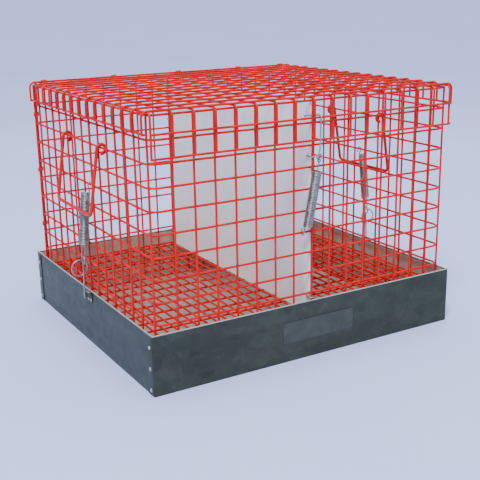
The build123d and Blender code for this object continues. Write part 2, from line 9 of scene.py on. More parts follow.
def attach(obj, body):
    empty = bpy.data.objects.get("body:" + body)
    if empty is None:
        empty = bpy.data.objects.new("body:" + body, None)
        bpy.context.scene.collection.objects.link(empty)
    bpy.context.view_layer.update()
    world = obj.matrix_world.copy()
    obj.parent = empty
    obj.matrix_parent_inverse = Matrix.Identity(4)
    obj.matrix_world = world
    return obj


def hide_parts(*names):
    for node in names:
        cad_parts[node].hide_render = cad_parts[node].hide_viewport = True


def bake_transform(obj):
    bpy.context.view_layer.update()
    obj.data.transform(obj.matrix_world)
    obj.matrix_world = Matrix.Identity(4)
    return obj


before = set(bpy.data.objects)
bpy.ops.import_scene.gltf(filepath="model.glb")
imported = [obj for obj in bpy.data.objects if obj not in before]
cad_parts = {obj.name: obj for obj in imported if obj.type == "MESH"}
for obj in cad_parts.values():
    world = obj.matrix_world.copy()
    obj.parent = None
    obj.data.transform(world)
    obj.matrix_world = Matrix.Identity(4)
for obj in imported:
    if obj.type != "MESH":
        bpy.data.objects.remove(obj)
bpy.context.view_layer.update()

# ---------------------------------------------------------------- dimensions
# in millimetres, as in the CAD
MM = 0.001
CELL = 25.4
WIRE = 2.6  # coated round wire of the mesh
HALF_BAR = 1.15  # half the square bar that stands for it in the CAD
WELD = 2.0  # between the centres of two crossing wires
CUT_END = 1.2  # how far a wire runs on past the last wire that it is welded to
FRONT_XS = [CELL * (k - 8) for k in range(17)]
ROWS = [2.1 + CELL * k for k in range(13)]
HALF_WIDTH = 204.0
HALF_DEPTH = 182.1
WALL_BEND = 12.0
FLAT_X = HALF_WIDTH - WALL_BEND
FLAT_Y = HALF_DEPTH - WALL_BEND
PAST_FLAT = FRONT_XS[-1] - FLAT_X
SIDE_START = -FLAT_Y + CELL - (WALL_BEND * pi / 2 - PAST_FLAT)
SIDE_YS = [SIDE_START + CELL * k for k in range(13)]
SEAM_ENDS = (PAST_FLAT - 2.5, PAST_FLAT + 2.5)  # the strip's two end uprights, along the back left bend
SEAM_GAP = 1.0  # between the cut ends of the level wires
SEAM_Z = (115.0, 192.0, 268.0)
UPRIGHT_FOOT = 1.0
UPRIGHT_TOP = ROWS[-1] + 1.0

LID_INNER_Z = 309.7
LID_OUTER_Z = LID_INNER_Z + WELD
LID_FRONT_Y = -188.5
LID_SIDE_X = 208.7
LID_BEND = 5.0
HINGE_Y = 172.0
LID_YS = [HINGE_Y - CELL * k for k in range(15)]
LID_BACK = HINGE_Y + 1.6
LID_ROWS = (LID_INNER_Z - 21.5, LID_INNER_Z - 21.5 - CELL)

TRAY_X = 213.0
TRAY_Y = 190.5
TRAY_Z = 72.0
SHEET = 0.8
HEM = 1.7  # thickness of the folded rim
HEM_DEPTH = 8.0
TAB_LAP = 13.0  # how far the corner tabs reach along the end walls
CORNER_RIVET_ZS = (7, 32, 57)
KEEPER_RIVET_Z = 60.5

FLOOR_WIRE_Z = 52.1
FLOOR_HALF_WIDTH = 200.0
FLOOR_HALF_DEPTH = 178.6
CLIP_RADIUS = 2.4  # centre line of a clip's band, from the wires that it wraps
CLIP_SHEET = 0.8

HANDLE_WIRE = 4.0
HANDLE_LEG_YS = (-55.2, 55.2)
HANDLE_LENGTH = 79.0
HANDLE_LEAN = radians(9.0)
HANDLE_CURL = 5.4  # radius of the curl round the wall's wire

LABEL_CENTRE = (6.3, 37.0)
LABEL_HALF = (51.0, 13.0)
LABEL_CORNER = 3.0

LATCH_Y = -12.0
SPRING_WIRE = 1.6
HOOK_WIRE = 1.8
COIL_RADIUS = 5.0
COIL_LENGTH = 68.0
COIL_TURNS = 36
HOOK_REACH = 2.65

dice = random.Random(41)


# ---------------------------------------------------------------- building pieces
def link(obj):
    bpy.context.scene.collection.objects.link(obj)
    return obj


def rounded(points, radius, steps=6):
    """A polyline's points with each corner turned into an arc, by one radius or one for each corner."""
    points = [Vector(p) for p in points]
    radii = radius if isinstance(radius, (list, tuple)) else [radius] * (len(points) - 2)
    out = [points[0]]
    for before, corner, after, bend in zip(points, points[1:], points[2:], radii):
        back = (before - corner).normalized()
        ahead = (after - corner).normalized()
        angle = back.angle(ahead)
        if angle > pi - 0.02:
            out.append(corner)
            continue
        centre = corner + (back + ahead).normalized() * (bend / sin(angle / 2))
        start = corner + back * (bend / tan(angle / 2)) - centre
        end = corner + ahead * (bend / tan(angle / 2)) - centre
        turn = start.angle(end)
        for step in range(steps + 1):
            share = step / steps
            arm = start * sin((1 - share) * turn) + end * sin(share * turn)
            out.append(centre + arm / sin(turn))
    out.append(points[-1])
    return out


def divided(points, wander=0.0, step=CELL):
    """Long runs cut about once a cell, with each cut nudged so that no wire is dead straight."""
    out = [Vector(points[0])]
    for a, b in zip(points, points[1:]):
        a, b = Vector(a), Vector(b)
        cuts = max(1, round((b - a).length / step))
        for k in range(1, cuts + 1):
            point = a.lerp(b, k / cuts)
            if k < cuts:
                point += Vector([dice.gauss(0, wander) for _ in range(3)])
            out.append(point)
    return out


def wires(name, runs, diameter, closed=False, resolution=3):
    """One object of round wires, each along its own list of points."""
    curve = bpy.data.curves.new(name, "CURVE")
    curve.dimensions = "3D"
    curve.bevel_depth = diameter / 2 * MM
    curve.bevel_resolution = resolution
    curve.use_fill_caps = True
    for points in runs:
        spline = curve.splines.new("POLY")
        spline.points.add(len(points) - 1)
        for spot, point in zip(spline.points, points):
            spot.co = (point[0] * MM, point[1] * MM, point[2] * MM, 1)
        spline.use_cyclic_u = closed
        spline.use_smooth = True
    return link(bpy.data.objects.new(name, curve))


def strips(name, loops, width, sheet, places, closed=True):
    """Flat strips bent along 2-D outlines, with rounded edges; each has a matrix that places its plane."""
    curves = []
    for points, place in zip(loops, places):
        curve = bpy.data.curves.new(name, "CURVE")
        curve.dimensions = "2D"
        curve.fill_mode = "NONE"
        curve.extrude = (width / 2 - sheet / 2) * MM
        curve.bevel_depth = sheet / 2 * MM
        curve.bevel_resolution = 2
        spline = curve.splines.new("POLY")
        spline.points.add(len(points) - 1)
        for spot, point in zip(spline.points, points):
            spot.co = (point[0] * MM, point[1] * MM, 0, 1)
        spline.use_cyclic_u = closed
        holder = link(bpy.data.objects.new(name, curve))
        holder.matrix_world = place
        curves.append(holder)
    return merged(name, curves)


def as_mesh(obj):
    """The object with its curve or modifiers turned into a plain mesh, in the row frame."""
    bpy.context.view_layer.update()
    graph = bpy.context.evaluated_depsgraph_get()
    mesh = bpy.data.meshes.new_from_object(obj.evaluated_get(graph))
    mesh.transform(obj.matrix_world)
    name = obj.name
    bpy.data.objects.remove(obj)
    solid = link(bpy.data.objects.new(name, mesh))
    solid.name = name
    return solid


def merged(name, parts):
    """Several objects as one mesh."""
    built = bmesh.new()
    for part in parts:
        mesh_part = as_mesh(part)
        built.from_mesh(mesh_part.data)
        bpy.data.objects.remove(mesh_part)
    mesh = bpy.data.meshes.new(name)
    built.to_mesh(mesh)
    built.free()
    obj = link(bpy.data.objects.new(name, mesh))
    obj.name = name
    return obj


def mesh_object(name, built, smooth_angle=35):
    """An object from a bmesh whose units are millimetres."""
    bmesh.ops.recalc_face_normals(built, faces=built.faces)
    bmesh.ops.scale(built, vec=(MM, MM, MM), verts=built.verts)
    mesh = bpy.data.meshes.new(name)
    built.to_mesh(mesh)
    built.free()
    for polygon in mesh.polygons:
        polygon.use_smooth = True
    mesh.set_sharp_from_angle(angle=radians(smooth_angle))
    return link(bpy.data.objects.new(name, mesh))


def welds(name, points, size=1.5):
    """The coat that fills the corners where two wires are welded."""
    built = bmesh.new()
    for point in points:
        place = Matrix.Translation(point) @ Matrix.Scale(size, 4)
        bmesh.ops.create_icosphere(built, subdivisions=2, radius=1.0, matrix=place)
    return mesh_object(name, built, 80)


def domes(name, spots, radius, height, tail):
    """Rivet heads, each turned about its own axis; a spot is (point, outward direction, sheet behind)."""
    built = bmesh.new()
    edge = 0.25  # the head's upright edge
    sides = 20
    head = [(radius, 0.0), (radius, edge)]
    head += [(radius * cos(a), edge + (height - edge) * sin(a)) for a in [0.3, 0.6, 0.9, 1.2]]
    head.append((0.0, height))
    foot = [(tail, 0.0), (tail, -0.5), (tail * 0.7, -0.7), (0, -0.7)]
    for point, outward, depth in spots:
        place = Matrix.Translation(point) @ Vector(outward).to_track_quat("Z", "Y").to_matrix().to_4x4()
        for outline, shift in ((head, 0.0), (foot, -depth)):
            rings = []
            for r, z in outline:
                if r == 0:
                    rings.append([built.verts.new(place @ Vector((0, 0, z + shift)))])
                    continue
                turns = [tau * k / sides for k in range(sides)]
                ring = [place @ Vector((r * cos(a), r * sin(a), z + shift)) for a in turns]
                rings.append([built.verts.new(v) for v in ring])
            built.faces.new(rings[0][::-1])
            for low, high in zip(rings, rings[1:]):
                for k in range(sides):
                    corners = [low[k], low[(k + 1) % sides]]
                    corners += [high[0]] if len(high) == 1 else [high[(k + 1) % sides], high[k]]
                    built.faces.new(corners)
    return mesh_object(name, built, 50)


def piece(obj, material, body, slot, *nodes):
    """Give a piece its material and its body, and hide the CAD nodes that it stands for; slot is not used.
    """
    obj.data.materials.clear()
    obj.data.materials.append(material)
    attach(obj, body)
    if nodes:
        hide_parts(*nodes)
    return obj


def paint(node, material):
    """Give a CAD node that is shown as it is a better material."""
    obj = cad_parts[node]
    if not obj.material_slots:
        obj.data.materials.append(material)
    for spot in obj.material_slots:
        spot.material = material


# ---------------------------------------------------------------- materials
class Tree:
    """A material's nodes, with short ways to add and join them."""

    def __init__(self, name):
        self.material = bpy.data.materials.new(name)
        self.material.use_nodes = True
        self.tree = self.material.node_tree
        self.shader = self.tree.nodes["Principled BSDF"]
        self.place = self.add("ShaderNodeTexCoord").outputs["Object"]

    def add(self, kind, **values):
        node = self.tree.nodes.new(kind)
        for key, value in values.items():
            setattr(node, key, value)
        return node

    def join(self, source, target):
        self.tree.links.new(source, target)

    def stretched(self, scale):
        node = self.add("ShaderNodeMapping")
        node.inputs["Scale"].default_value = scale
        self.join(self.place, node.inputs["Vector"])
        return node.outputs["Vector"]

    def noise(self, scale, detail=2.0, roughness=0.5, along=None):
        node = self.add("ShaderNodeTexNoise")
        node.inputs["Scale"].default_value = scale
        node.inputs["Detail"].default_value = detail
        node.inputs["Roughness"].default_value = roughness
        self.join(along or self.place, node.inputs["Vector"])
        return node.outputs["Fac"]

    def cells(self, scale, output="Color", along=None, feature="F1"):
        node = self.add("ShaderNodeTexVoronoi", feature=feature)
        node.inputs["Scale"].default_value = scale
        self.join(along or self.place, node.inputs["Vector"])
        return node.outputs[output]

    def ramp(self, value, stops):
        node = self.add("ShaderNodeValToRGB")
        while len(node.color_ramp.elements) < len(stops):
            node.color_ramp.elements.new(0.5)
        for element, (spot, colour) in zip(node.color_ramp.elements, stops):
            element.position = spot
            element.color = (*colour, 1) if len(colour) == 3 else colour
        self.join(value, node.inputs["Fac"])
        return node.outputs["Color"]

    def scaled(self, value, low, high, start=0.0, end=1.0):
        node = self.add("ShaderNodeMapRange")
        for key, number in (("From Min", start), ("From Max", end), ("To Min", low), ("To Max", high)):
            node.inputs[key].default_value = number
        self.join(value, node.inputs["Value"])
        return node.outputs["Result"]

    def mix(self, share, a, b, blend="MIX"):
        node = self.add("ShaderNodeMix", data_type="RGBA", blend_type=blend)
        for key, value in ((0, share), (6, a), (7, b)):
            if isinstance(value, bpy.types.NodeSocket):
                self.join(value, node.inputs[key])
            elif isinstance(value, (int, float)):
                node.inputs[key].default_value = value
            else:
                node.inputs[key].default_value = (*value, 1)
        return node.outputs[2]

    def grey(self, value):
        node = self.add("ShaderNodeRGBToBW")
        self.join(value, node.inputs["Color"])
        return node.outputs["Val"]

    def within(self, split, limits):
        """One inside a box about the frame's middle, given by two half sizes and its top; else nought."""
        share = None
        for axis, limit in zip("XYZ", limits):
            size = self.add("ShaderNodeMath", operation="ABSOLUTE")
            self.join(split.outputs[axis], size.inputs[0])
            test = self.add("ShaderNodeMath", operation="LESS_THAN")
            self.join(size.outputs[0], test.inputs[0])
            test.inputs[1].default_value = limit * MM
            if share is not None:
                both = self.add("ShaderNodeMath", operation="MULTIPLY")
                self.join(share, both.inputs[0])
                self.join(test.outputs[0], both.inputs[1])
                test = both
            share = test.outputs[0]
        return share

    def bump(self, value, depth_mm, strength=1.0, before=None):
        node = self.add("ShaderNodeBump")
        node.inputs["Distance"].default_value = depth_mm * MM
        node.inputs["Strength"].default_value = strength
        self.join(value, node.inputs["Height"])
        if before is not None:
            self.join(before, node.inputs["Normal"])
        return node.outputs["Normal"]

    def set(self, **values):
        for key, value in values.items():
            socket = self.shader.inputs[key.replace("_", " ")]
            if isinstance(value, bpy.types.NodeSocket):
                self.join(value, socket)
            elif isinstance(value, tuple):
                socket.default_value = (*value, 1)
            else:
                socket.default_value = value
        return self.material


def coated_wire():
    """Thick orange-red coat over wire: uneven in tone, slightly rippled, with a soft gloss."""
    t = Tree("coated_wire")
    tone = t.noise(38, 3)
    reds = [(0.30, (0.45, 0.005, 0.002)), (0.55, (0.56, 0.008, 0.003)), (0.75, (0.64, 0.015, 0.005))]
    base = t.ramp(tone, reds)
    grime = t.noise(210, 4, 0.65)
    dull = t.scaled(grime, 0.0, 0.35, 0.56, 0.72)
    colour = t.mix(dull, base, (0.28, 0.006, 0.004))
    peel = t.noise(900, 2)
    ripple = t.noise(160, 2)
    normal = t.bump(peel, 0.05, 0.6, t.bump(ripple, 0.25, 0.5))
    gloss = t.scaled(grime, 0.30, 0.50, 0.35, 0.7)
    return t.set(
        Base_Color=colour,
        Roughness=gloss,
        Normal=normal,
        Specular_IOR_Level=0.16,
        Coat_Weight=0.03,
    )


def galvanised():
    """Galvanised sheet with crystals, smears and marks: dark outside, partly as a painted dark reflection;
    painted light on the inside and a painted highlight along the rim.
    """
    t = Tree("galvanised_sheet")
    crystals = t.grey(t.cells(130))
    blooms = t.grey(t.cells(48, along=t.stretched((1, 1, 1.4))))
    smears = t.noise(16, 4, 0.6, t.stretched((0.6, 0.6, 2.2)))
    # the outside's very dark tones are partly the zinc's own spangle and partly a painted dark reflection
    # of dark surroundings
    base = t.ramp(crystals, [(0.15, (0.042, 0.049, 0.035)), (0.85, (0.060, 0.069, 0.050))])
    patches = t.ramp(blooms, [(0.2, (0.036, 0.043, 0.031)), (0.8, (0.072, 0.082, 0.060))])
    base = t.mix(0.35, base, patches)
    base = t.mix(t.scaled(smears, 0.0, 0.55, 0.42, 0.70), base, (0.026, 0.031, 0.022))
    stains = t.noise(60, 5, 0.7)
    base = t.mix(t.scaled(stains, 0.0, 0.4, 0.60, 0.78), base, (0.105, 0.115, 0.088))
    split = t.add("ShaderNodeSeparateXYZ")
    t.join(t.place, split.inputs["Vector"])
    # painted highlight: a near-white band along the top of the rolled rim, where the overhead light
    # catches it
    rim = t.scaled(split.outputs["Z"], 0.0, 0.8, (TRAY_Z - 1.3) * MM, (TRAY_Z - 0.7) * MM)
    base = t.mix(rim, base, (0.55, 0.58, 0.54))
    # painted light: the inside faces get a much brighter colour than the outside, standing in for light
    # falling in through the mesh
    inside = t.within(split, (TRAY_X - 0.45, TRAY_Y - 0.45, TRAY_Z - 2.2))
    painted_lit_inside = t.ramp(blooms, [(0.2, (0.46, 0.44, 0.38)), (0.8, (0.62, 0.59, 0.51))])
    base = t.mix(inside, base, t.mix(0.5, painted_lit_inside, (0.54, 0.50, 0.43)))
    rough = t.scaled(crystals, 0.42, 0.56)
    scratches = t.noise(420, 3, 0.6, t.stretched((0.15, 1, 1)))
    normal = t.bump(scratches, 0.04, 0.4, t.bump(crystals, 0.05, 0.5))
    return t.set(
        Base_Color=base,
        Metallic=0.62,
        Roughness=rough,
        Normal=normal,
        Specular_IOR_Level=0.3,
    )


def zinc_wire(name, light, dark):
    """Plain zinc-plated wire, a little tarnished."""
    t = Tree(name)
    patches = t.noise(240, 4, 0.6)
    colour = t.ramp(patches, [(0.3, dark), (0.7, light)])
    drawn = t.noise(1500, 2)
    return t.set(
        Base_Color=colour,
        Metallic=0.9,
        Roughness=t.scaled(patches, 0.28, 0.5, 0.3, 0.7),
        Normal=t.bump(drawn, 0.03, 0.4),
    )


def divider_sheet():
    """Light grey painted sheet, matt, with faint rub marks."""
    t = Tree("divider_sheet")
    clouds = t.noise(9, 4, 0.6)
    base = t.ramp(clouds, [(0.3, (0.76, 0.77, 0.82)), (0.7, (0.82, 0.83, 0.88))])
    rubs = t.noise(30, 5, 0.7, t.stretched((1, 0.3, 2.5)))
    base = t.mix(t.scaled(rubs, 0.0, 0.30, 0.55, 0.75), base, (0.66, 0.66, 0.70))
    grain = t.noise(700, 2)
    return t.set(Base_Color=base, Roughness=t.scaled(rubs, 0.48, 0.62), Normal=t.bump(grain, 0.04, 0.5))


def label_metal():
    """Blank satin plate with a brushed grain."""
    t = Tree("label_metal")
    brushed = t.noise(500, 3, 0.6, t.stretched((0.04, 1, 1)))
    patches = t.noise(70, 3)
    base = t.ramp(patches, [(0.3, (0.060, 0.066, 0.050)), (0.7, (0.078, 0.085, 0.066))])
    return t.set(
        Base_Color=base,
        Metallic=0.75,
        Roughness=t.scaled(brushed, 0.34, 0.5),
        Normal=t.bump(brushed, 0.03, 0.5),
    )


def rivet_metal():
    """Pressed aluminium rivet heads, dulled in places."""
    t = Tree("rivet_steel")
    patches = t.noise(300, 3)
    base = t.ramp(patches, [(0.3, (0.30, 0.32, 0.32)), (0.7, (0.44, 0.46, 0.45))])
    return t.set(
        Base_Color=base,
        Metallic=0.85,
        Roughness=t.scaled(patches, 0.30, 0.46),
        Normal=t.bump(t.noise(900, 2), 0.03, 0.4),
    )


RED = coated_wire()
ZINC_SHEET = galvanised()
ZINC_WIRE = zinc_wire("zinc_wire", (0.40, 0.40, 0.39), (0.26, 0.26, 0.255))
SPRING_STEEL = zinc_wire("spring_steel", (0.42, 0.42, 0.40), (0.20, 0.20, 0.195))
DIVIDER = divider_sheet()
LABEL = label_metal()
RIVET = rivet_metal()


# ---------------------------------------------------------------- tray
def sheet_dip(x, y, z, height):
    """How far a large face of the tray is out of flat, in millimetres; nothing at its edges."""
    along = noise.noise(Vector((x, y, z)) * 0.012 + Vector((3.1, 0.7, 5.2)))
    fine = noise.noise(Vector((x, y, z)) * 0.035)
    return (0.55 * along + 0.15 * fine) * sin(pi * height)


def tray():
    """The folded pan: one skin round the walls, over the rolled rim, down inside and across the floor."""
    roll = HEM / 2  # radius of the rim
    rim_z = TRAY_Z - roll
    hem_z = TRAY_Z - HEM_DEPTH
    bend_z = 1.2  # where the floor's bend ends and the flat wall begins
    section = [(-0.9, 0.0), (-0.25, 0.4), (0.0, bend_z)]
    section += [(0.0, bend_z + 68.0 * k / 8) for k in range(1, 8)]
    section += [(0.0, TRAY_Z - 1.6), (0.0, rim_z)]
    turns = (0.4, 0.8, 1.2, 1.57, 1.95, 2.35, 2.75)
    section += [(roll * (cos(a) - 1), rim_z + roll * sin(a)) for a in turns]
    section += [(-HEM, rim_z), (-HEM, hem_z), (-SHEET - 0.1, hem_z)]
    section += [(-SHEET, hem_z + 0.2), (-SHEET, TRAY_Z / 2), (-SHEET, SHEET)]
    cuts = 18  # spots along each side, so that the walls can be a little out of flat
    built = bmesh.new()
    rings = []
    for out, z in section:
        x, y = TRAY_X + out, TRAY_Y + out
        corners = [(-x, -y), (x, -y), (x, y), (-x, y)]
        ring = []
        for (ax, ay), (bx, by) in zip(corners, corners[1:] + corners[:1]):
            for k in range(cuts):
                share = k / cuts
                px, py = ax + (bx - ax) * share, ay + (by - ay) * share
                if out == 0.0 and 1.0 < z < TRAY_Z - 1 and k:
                    dip = sheet_dip(px, py, z, z / TRAY_Z) * sin(pi * share) ** 0.5
                    if abs(ay - by) < 1:
                        py += dip * (1 if py > 0 else -1)
                    else:
                        px += dip * (1 if px > 0 else -1)
                ring.append(built.verts.new((px, py, z)))
        rings.append(ring)
    count = len(rings[0])
    for low, high in zip(rings, rings[1:]):
        for k in range(count):
            built.faces.new((low[k], low[(k + 1) % count], high[(k + 1) % count], high[k]))
    built.faces.new(rings[0][::-1])
    built.faces.new(rings[-1])
    return mesh_object("tray_pan_folded", built, 30)


def tray_tabs():
    """The front and back walls' ends, folded round and lapped onto the end walls."""
    loops, places = [], []
    for sx in (-1, 1):
        for sy in (-1, 1):
            x = sx * (TRAY_X + SHEET / 2)
            y = sy * (TRAY_Y - SHEET / 2 + 0.04)
            outline = [(sx * (TRAY_X - 1.6), y, 0), (x, y, 0), (x, sy * (TRAY_Y - TAB_LAP), 0)]
            loops.append([(p.x, p.y) for p in rounded(outline, 0.9)])
            places.append(Matrix.Translation((0, 0, (1.2 + TRAY_Z - 1.0) / 2 * MM)))
    return strips("tray_corner_tabs", loops, TRAY_Z - 2.2, SHEET, places, closed=False)


piece(tray(), ZINC_SHEET, "tray", "galvanised_sheet", "tray_pan")
piece(tray_tabs(), ZINC_SHEET, "tray", "galvanised_sheet", "tray_pan")

spots = [
    ((sx * (TRAY_X + SHEET), sy * (TRAY_Y - TAB_LAP / 2), z), (sx, 0, 0), 2 * SHEET)
    for sx in (-1, 1)
    for sy in (-1, 1)
    for z in CORNER_RIVET_ZS
]
heads = domes("corner_rivet_heads", spots, 2.5, 1.1, 2.1)
piece(heads, RIVET, "tray", "rivet_steel", "tray_corner_rivets")
spots = [
    ((sx * (TRAY_X + 1.0), LATCH_Y + dy, KEEPER_RIVET_Z), (sx, 0, 0), SHEET + 1.0)
    for sx in (-1, 1)
    for dy in (-3.5, 3.5)
]
heads = domes("keeper_rivet_heads", spots, 2.2, 1.1, 2.1)
piece(heads, RIVET, "tray", "rivet_steel", "keeper_rivets")


def keeper(side, name):
    """The bent tab that the tray latch's hook catches."""
    outline = [(0.5, 57.5), (0.5, 70.5), (5.65, 70.5), (5.65, 65.8)]
    path = rounded([(side * (TRAY_X + x), z, 0) for x, z in outline], 1.0)
    place = Matrix.Translation((0, LATCH_Y * MM, 0)) @ Matrix.Rotation(pi / 2, 4, "X")
    return strips(name, [[(p.x, p.y) for p in path]], 12.0, 0.95, [place], closed=False)


for side, word in ((-1, "left"), (1, "right")):
    tab = keeper(side, f"{word}_keeper_tab")
    piece(tab, ZINC_SHEET, "tray", "galvanised_sheet", f"{word}_tray_keeper")


def label():
    """Blank plate with rounded corners on the tray's front."""
    outline = []
    for side_x, side_z, start in ((1, 1, 0), (-1, 1, 90), (-1, -1, 180), (1, -1, 270)):
        cx = side_x * (LABEL_HALF[0] - LABEL_CORNER)
        cz = side_z * (LABEL_HALF[1] - LABEL_CORNER)
        for a in range(start, start + 91, 15):
            outline.append((cx + LABEL_CORNER * cos(radians(a)), cz + LABEL_CORNER * sin(radians(a))))
    curve = bpy.data.curves.new("label_blank", "CURVE")
    curve.dimensions = "2D"
    curve.fill_mode = "BOTH"
    curve.extrude = 0.2 * MM
    curve.bevel_depth = 0.1 * MM
    curve.bevel_resolution = 1
    spline = curve.splines.new("POLY")
    spline.points.add(len(outline) - 1)
    for spot, (x, z) in zip(spline.points, outline):
        spot.co = (x * MM, z * MM, 0, 1)
    spline.use_cyclic_u = True
    plate = link(bpy.data.objects.new("label_blank", curve))
    place = Vector((LABEL_CENTRE[0], -(TRAY_Y + 0.3), LABEL_CENTRE[1])) * MM
    plate.matrix_world = Matrix.Translation(place) @ Matrix.Rotation(pi / 2, 4, "X")
    return as_mesh(plate)


piece(label(), LABEL, "tray", "label_metal", "label_plate")


# ---------------------------------------------------------------- wall mesh
def corner_spot(x_side, y_side, along, reach):
    """A point on a corner bend, the given distance past the end of the flat front or back."""
    angle = along / WALL_BEND
    return x_side * (FLAT_X + reach * sin(angle)), y_side * (FLAT_Y + reach * cos(angle))


def weld_spot(x, y):
    """The point half a weld's depth inside an upright, where the level wires touch it."""
    past = Vector((max(abs(x) - FLAT_X, 0.0), max(abs(y) - FLAT_Y, 0.0)))
    past *= 1 - WELD / 2 / past.length
    near = Vector((min(abs(x), FLAT_X), min(abs(y), FLAT_Y))) + past
    return near.x * (1 if x > 0 else -1), near.y * (1 if y > 0 else -1)


def wall_wires():
    """The bent strip of mesh: level wires from seam to seam, and uprights outside them."""
    runs = []
    for z in ROWS:
        quarter = WALL_BEND * pi / 2
        first = PAST_FLAT + SEAM_GAP / 2
        last = PAST_FLAT - SEAM_GAP / 2
        start = [first + (quarter - first) * k / 4 for k in range(5)]
        path = [Vector((*corner_spot(-1, 1, along, WALL_BEND), z)) for along in start]
        plan = [(-HALF_WIDTH, FLAT_Y), (-HALF_WIDTH, -HALF_DEPTH), (HALF_WIDTH, -HALF_DEPTH)]
        plan += [(HALF_WIDTH, HALF_DEPTH), (-FLAT_X, HALF_DEPTH)]
        path += rounded([(x, y, z) for x, y in plan], WALL_BEND)[1:]
        for k in range(1, 9):
            path.append(Vector((*corner_spot(-1, 1, last * k / 8, WALL_BEND), z)))
        runs.append(divided(path, 0.10))
    feet = [(x, s * (HALF_DEPTH + WELD)) for x in FRONT_XS[1:-1] for s in (-1, 1)]
    feet += [corner_spot(s, -1, PAST_FLAT, WALL_BEND + WELD) for s in (-1, 1)]
    feet.append(corner_spot(1, 1, PAST_FLAT, WALL_BEND + WELD))
    feet += [corner_spot(-1, 1, along, WALL_BEND + WELD) for along in SEAM_ENDS]
    feet += [(s * (HALF_WIDTH + WELD), y) for y in SIDE_YS for s in (-1, 1)]
    for x, y in feet:
        runs.append(divided([(x, y, UPRIGHT_FOOT), (x, y, UPRIGHT_TOP)], 0.08))
    return runs, [(*weld_spot(x, y), z) for x, y in feet for z in ROWS]


WALL_NODES = ("front_wall_mesh", "back_wall_mesh", "left_wall_mesh", "right_wall_mesh")
runs, joints = wall_wires()
piece(wires("wall_mesh_wires", runs, WIRE), RED, "cage", "coated_wire", *WALL_NODES)
piece(welds("wall_mesh_welds", joints), RED, "cage", "coated_wire", *WALL_NODES)


def floor_wires():
    """Half-inch by one-inch floor."""
    across = [CELL * k for k in range(-7, 8)]
    along = [CELL / 2 * (k + 0.5) for k in range(-16, 16)]
    low = FLOOR_WIRE_Z - WELD
    runs = []
    for y in across:
        runs.append(divided([(-FLOOR_HALF_WIDTH, y, low), (FLOOR_HALF_WIDTH, y, low)], 0.12))
    for x in along:
        ends = [(x, -FLOOR_HALF_DEPTH, FLOOR_WIRE_Z), (x, FLOOR_HALF_DEPTH, FLOOR_WIRE_Z)]
        runs.append(divided(ends, 0.12))
    return runs, [(x, y, FLOOR_WIRE_Z - WELD / 2) for x in along for y in across]


runs, joints = floor_wires()
piece(wires("floor_mesh_wires", runs, WIRE), RED, "cage", "coated_wire", "floor_mesh")
piece(welds("floor_mesh_welds", joints), RED, "cage", "coated_wire", "floor_mesh")


# ---------------------------------------------------------------- lid
def lid_wires():
    """The lid's mesh with its front and side edges bent down."""
    runs = []
    outer_x = LID_SIDE_X + WELD
    front_y = LID_FRONT_Y - WELD
    foot = LID_ROWS[0] - CUT_END
    for x in FRONT_XS:
        path = [(x, LID_BACK, LID_INNER_Z), (x, LID_FRONT_Y, LID_INNER_Z)]
        path.append((x, LID_FRONT_Y, LID_ROWS[1] - CUT_END))
        runs.append(divided(rounded(path, LID_BEND), 0.10))
    for y in LID_YS:
        path = [(-outer_x, y, foot), (-outer_x, y, LID_OUTER_Z)]
        path += [(outer_x, y, LID_OUTER_Z), (outer_x, y, foot)]
        runs.append(divided(rounded(path, LID_BEND + WELD), 0.10))
    for z in LID_ROWS:
        end = FRONT_XS[-1] + CUT_END
        runs.append(divided([(-end, front_y, z), (end, front_y, z)], 0.08))
    for side in (-1, 1):
        x = side * LID_SIDE_X
        ends = [(x, LID_YS[-1] - CUT_END, LID_ROWS[0]), (x, LID_BACK, LID_ROWS[0])]
        runs.append(divided(ends, 0.08))
    joints = [(x, y, LID_INNER_Z + WELD / 2) for x in FRONT_XS for y in LID_YS]
    joints += [(x, LID_FRONT_Y - WELD / 2, z) for x in FRONT_XS for z in LID_ROWS]
    joints += [(s * (LID_SIDE_X + WELD / 2), y, LID_ROWS[0]) for s in (-1, 1) for y in LID_YS]
    return runs, joints


LID_NODES = ("lid_top_mesh", "lid_front_flange", "lid_left_flange", "lid_right_flange")
runs, joints = lid_wires()
piece(wires("lid_mesh_wires", runs, WIRE), RED, "lid", "coated_wire", *LID_NODES)
piece(welds("lid_mesh_welds", joints), RED, "lid", "coated_wire", *LID_NODES)


# ---------------------------------------------------------------- clips
def slot_outline(first, second, radius):
    """A closed outline round two parallel wires, given by their centres in the clip's plane."""
    turn = atan2(second[1] - first[1], second[0] - first[0])
    outline = []
    for (cx, cy), start in ((second, turn - pi / 2), (first, turn + pi / 2)):
        turns = [start + pi * k / 10 for k in range(11)]
        outline += [(cx + radius * cos(a), cy + radius * sin(a)) for a in turns]
    return outline


# the plane of a clip that wraps wires running along X: its x is the row frame's Y, its y is Z
ALONG_X = Matrix(((0, 0, 1, 0), (1, 0, 0, 0), (0, 1, 0, 0), (0, 0, 0, 1)))


def hinge_clips():
    """Bands round the lid's last wire and the wall's top wire."""
    outline = slot_outline((HINGE_Y, LID_OUTER_Z), (HALF_DEPTH, ROWS[-1]), CLIP_RADIUS)
    xs = (-190.5, -88.9, 12.7, 114.3, 190.5)
    places = [Matrix.Translation((x * MM, 0, 0)) @ ALONG_X for x in xs]
    return strips("hinge_clip_bands", [outline] * len(xs), 7.0, CLIP_SHEET, places)


def floor_clip_bands():
    """Bands that tie the floor's end wires to the front and back walls."""
    loops, places = [], []
    for x in (-165.1, -63.5, 63.5, 165.1):
        for side in (-1, 1):
            wall_wire = (side * HALF_DEPTH, ROWS[2])
            floor_wire = (side * 7 * CELL, FLOOR_WIRE_Z - WELD)
            loops.append(slot_outline(wall_wire, floor_wire, CLIP_RADIUS))
            places.append(Matrix.Translation((x * MM, 0, 0)) @ ALONG_X)
    return strips("floor_clip_bands", loops, 5.0, CLIP_SHEET, places)


